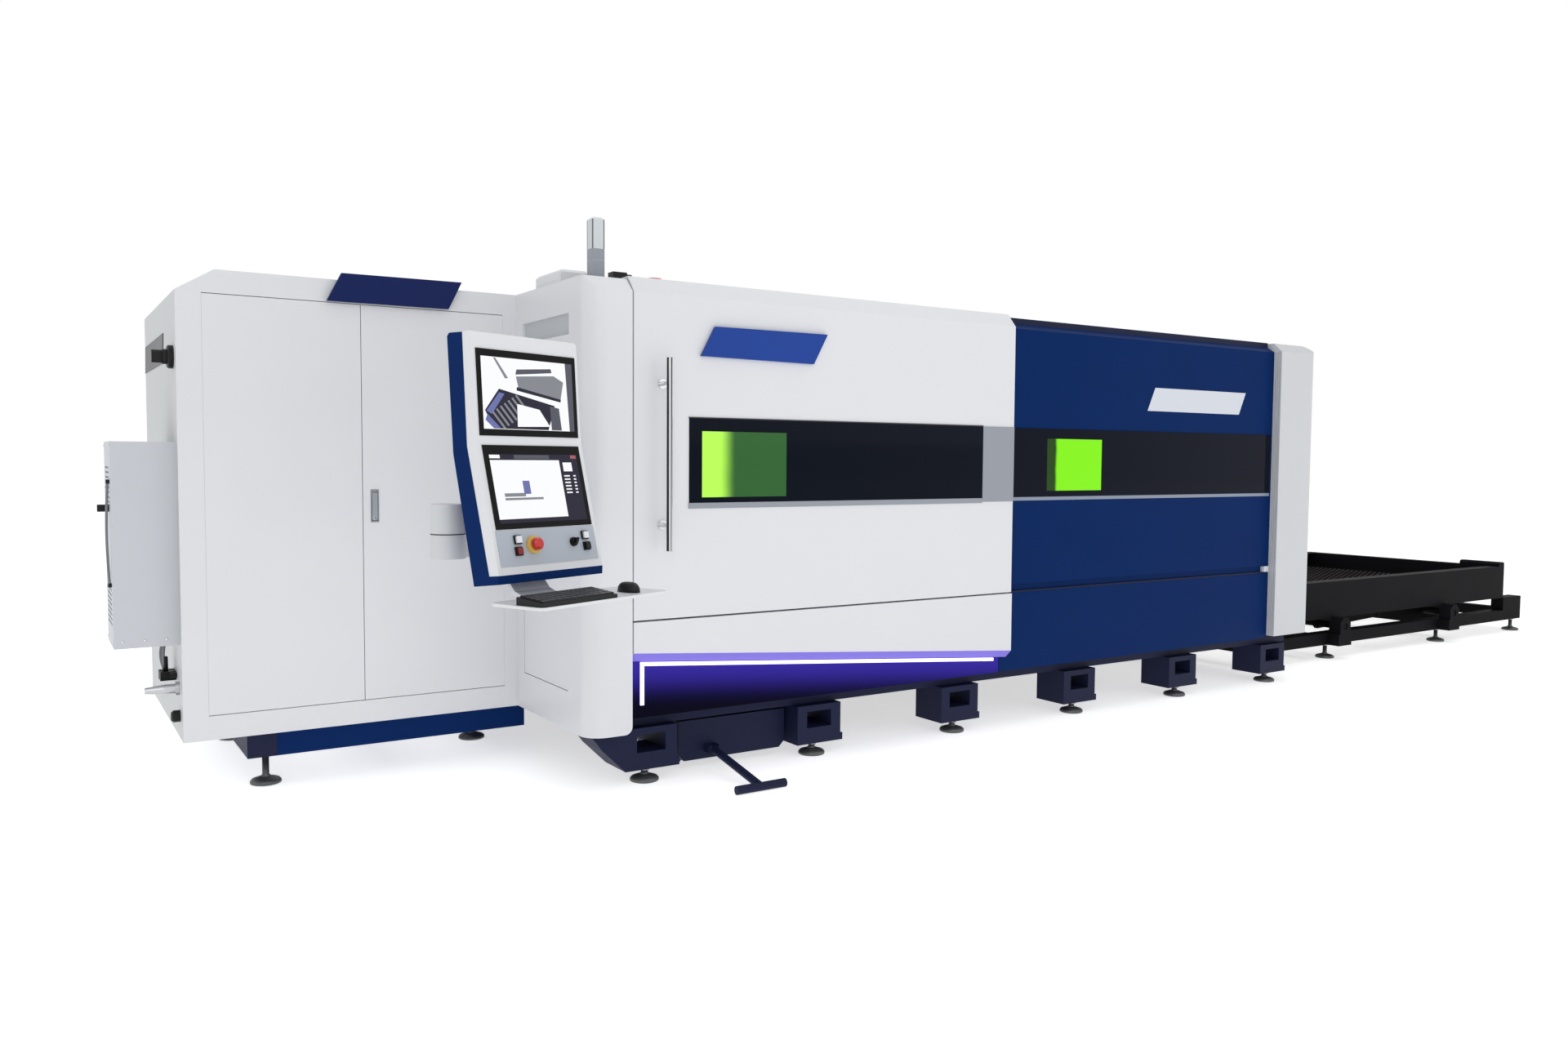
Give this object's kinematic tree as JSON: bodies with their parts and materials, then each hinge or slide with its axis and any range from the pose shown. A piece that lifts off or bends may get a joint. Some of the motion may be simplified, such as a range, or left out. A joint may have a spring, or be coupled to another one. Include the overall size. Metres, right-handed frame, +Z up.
{
  "type": "fiber laser cutting machine",
  "caption": "Enclosed flatbed laser cutting machine with sliding door, electrical cabinet, swing-arm console and pallet exchange table.",
  "frame": {"origin": "on the floor under the front levelling pad nearest the electrical cabinet", "axes": "+X along the machine to the exchange table, +Y from the door side to the back, +Z up"},
  "size_m": [10.657, 3.708, 2.47],
  "materials": {
    "white_paint": "light grey-white textured powder coat",
    "blue_paint": "deep blue semi-gloss powder coat",
    "navy_frame": "dark blue-grey structural paint",
    "table_paint": "near-black structural paint",
    "grey_paint": "grey trim paint",
    "steel_raw": "worn mild steel",
    "bright_steel": "polished steel",
    "dark_glass": "near-black tinted glass",
    "green_glass": "lime green laser-safe glass",
    "black_plastic": "matt black plastic",
    "screen": "gloss black display",
    "led": "lit diffuser",
    "red_plastic": "gloss red plastic",
    "white_plastic": "gloss white plastic",
    "grey_plastic": "grey plastic",
    "cable_grey": "grey cable sheath",
    "black_metal": "black powder coat"
  },
  "bodies": {
    "machine": {"bed_frame": "navy_frame", "levelling_feet": "steel_raw", "base_panel": "blue_paint", "led_strip": "led", "skirt_panel": "white_paint", "left_end_shell": "white_paint", "end_access_panel": "white_paint", "fixed_front_panel": "blue_paint", "fixed_window": "dark_glass", "fixed_green_pane": "green_glass", "right_end_shell": "white_paint", "rear_wall": "white_paint", "roof_panel": "white_paint", "roof_fittings": "white_paint", "signal_tower": "grey_plastic", "door_rails": "bright_steel", "x_rails": "bright_steel", "cabinet_shell": "white_paint", "cabinet_plinth": "blue_paint", "cooler": "white_paint", "side_fittings": "black_plastic", "cabinet_cables": "cable_grey", "electrics_plate": "grey_paint", "laser_source": "black_metal", "table_base": "table_paint", "arm_bracket": "grey_paint"},
    "front_door": {"door_shell": "white_paint", "door_window": "dark_glass", "door_green_pane": "green_glass", "door_handle": "bright_steel"},
    "left_door": {"cabinet_door_left": "white_paint"},
    "right_door": {"cabinet_door_right": "white_paint"},
    "door_lever": {"lock_lever": "black_plastic"},
    "main_switch": {"isolator_handle": "black_plastic"},
    "lower_arm": {"arm_lower": "grey_paint"},
    "upper_arm": {"arm_upper": "grey_paint"},
    "console": {"console_back": "blue_paint", "console_front": "white_paint", "screens": "screen", "button_panel": "grey_plastic", "keyboard_tray": "grey_paint", "keyboard": "black_plastic", "mouse": "black_plastic"},
    "stop_head": {"emergency_stop": "red_plastic"},
    "white_button_left": {"push_button_white_left": "white_plastic"},
    "red_button": {"push_button_red": "red_plastic"},
    "white_button_right": {"push_button_white_right": "white_plastic"},
    "black_button": {"push_button_black": "black_plastic"},
    "selector": {"selector_switch": "black_plastic"},
    "gantry": {"gantry_beam": "grey_paint"},
    "cross_carriage": {"carriage": "black_metal"},
    "head": {"cutting_head": "black_metal"},
    "sheet_pallet": {"pallet_upper": "table_paint"},
    "spare_pallet": {"pallet_lower": "table_paint"},
    "lift": {"lift_frame": "table_paint"},
    "near_rocker": {"rocker_near": "table_paint"},
    "far_rocker": {"rocker_far": "table_paint"},
    "cart": {"slag_cart": "grey_paint"},
    "cart_bar": {"tow_bar": "black_metal"},
    "gate": {"lift_gate": "white_paint"}
  },
  "joints": [
    {"name": "door_slide", "type": "slide", "parent": "machine", "child": "front_door", "axis": [1, 0, 0], "range_m": [0, 2.26]},
    {"name": "left_door_hinge", "type": "hinge", "parent": "machine", "child": "left_door", "pos_m": [-1.672, 0.672, 0.357], "axis": [0, 0, -1], "range_deg": [0, 110]},
    {"name": "right_door_hinge", "type": "hinge", "parent": "machine", "child": "right_door", "pos_m": [-0.402, 0.672, 0.357], "axis": [0, 0, 1], "range_deg": [0, 90]},
    {"name": "lever_hinge", "type": "hinge", "parent": "right_door", "child": "door_lever", "pos_m": [-0.992, 0.679, 1.274], "axis": [1, 0, 0], "range_deg": [-60, 0]},
    {"name": "main_switch_turn", "type": "hinge", "parent": "machine", "child": "main_switch", "pos_m": [-1.791, 0.775, 1.842], "axis": [-1, 0, 0], "range_deg": [0, 90]},
    {"name": "arm_swing", "type": "hinge", "parent": "machine", "child": "lower_arm", "pos_m": [-0.406, -0.016, 1.128], "axis": [0, 0, 1], "range_deg": [-20, 30]},
    {"name": "arm_fold", "type": "hinge", "parent": "lower_arm", "child": "upper_arm", "pos_m": [-1.062, -0.598, 1.223], "axis": [0, 0, 1], "range_deg": [-60, 8]},
    {"name": "console_swivel", "type": "hinge", "parent": "upper_arm", "child": "console", "pos_m": [-0.853, -0.573, 1.223], "axis": [0, 0, 1], "range_deg": [-30, 30]},
    {"name": "stop_press", "type": "slide", "parent": "console", "child": "stop_head", "axis": [-0.3866, 0.8934, -0.2289], "range_m": [0, 0.005], "stiffness_N_per_m": 400},
    {"name": "white_left_press", "type": "slide", "parent": "console", "child": "white_button_left", "axis": [-0.3866, 0.8934, -0.2289], "range_m": [0, 0.003], "stiffness_N_per_m": 400},
    {"name": "red_press", "type": "slide", "parent": "console", "child": "red_button", "axis": [-0.3866, 0.8934, -0.2289], "range_m": [0, 0.003], "stiffness_N_per_m": 400},
    {"name": "white_right_press", "type": "slide", "parent": "console", "child": "white_button_right", "axis": [-0.3866, 0.8934, -0.2289], "range_m": [0, 0.003], "stiffness_N_per_m": 400},
    {"name": "black_press", "type": "slide", "parent": "console", "child": "black_button", "axis": [-0.3866, 0.8934, -0.2289], "range_m": [0, 0.003], "stiffness_N_per_m": 400},
    {"name": "selector_turn", "type": "hinge", "parent": "console", "child": "selector", "pos_m": [-0.68816, -0.8127, 1.14284], "axis": [0.3866, -0.8934, 0.2289], "range_deg": [-45, 45]},
    {"name": "gantry_travel", "type": "slide", "parent": "machine", "child": "gantry", "axis": [1, 0, 0], "range_m": [0, 3.3]},
    {"name": "carriage_travel", "type": "slide", "parent": "gantry", "child": "cross_carriage", "axis": [0, 1, 0], "range_m": [0, 1.15]},
    {"name": "head_stroke", "type": "slide", "parent": "cross_carriage", "child": "head", "axis": [0, 0, -1], "range_m": [0, 0.11]},
    {"name": "sheet_pallet_travel", "type": "slide", "parent": "machine", "child": "sheet_pallet", "axis": [1, 0, 0], "range_m": [0, 3.75]},
    {"name": "lift_stroke", "type": "slide", "parent": "machine", "child": "lift", "axis": [0, 0, -1], "range_m": [-0.258, 0]},
    {"name": "spare_pallet_travel", "type": "slide", "parent": "lift", "child": "spare_pallet", "axis": [-1, 0, 0], "range_m": [0, 3.75]},
    {"name": "near_rocker_turn", "type": "hinge", "parent": "machine", "child": "near_rocker", "pos_m": [5.794, 1.18, 0.245], "axis": [0, -1, 0], "range_deg": [0, 19]},
    {"name": "far_rocker_turn", "type": "hinge", "parent": "machine", "child": "far_rocker", "pos_m": [7.329, 1.18, 0.245], "axis": [0, 1, 0], "range_deg": [0, 19]},
    {"name": "cart_travel", "type": "slide", "parent": "machine", "child": "cart", "axis": [0, -1, 0], "range_m": [0, 1.5]},
    {"name": "tow_bar_hinge", "type": "hinge", "parent": "cart", "child": "cart_bar", "pos_m": [0.354, 0.001, 0.097], "axis": [-1, 0, 0], "range_deg": [0, 40]},
    {"name": "gate_drop", "type": "slide", "parent": "machine", "child": "gate", "axis": [0, 0, 1], "range_m": [-0.56, 0]}
  ],
  "couplings": [
    {"joint": "near_rocker_turn", "follows": "lift_stroke", "rad_per_m": -1.278},
    {"joint": "far_rocker_turn", "follows": "lift_stroke", "rad_per_m": -1.278}
  ]
}
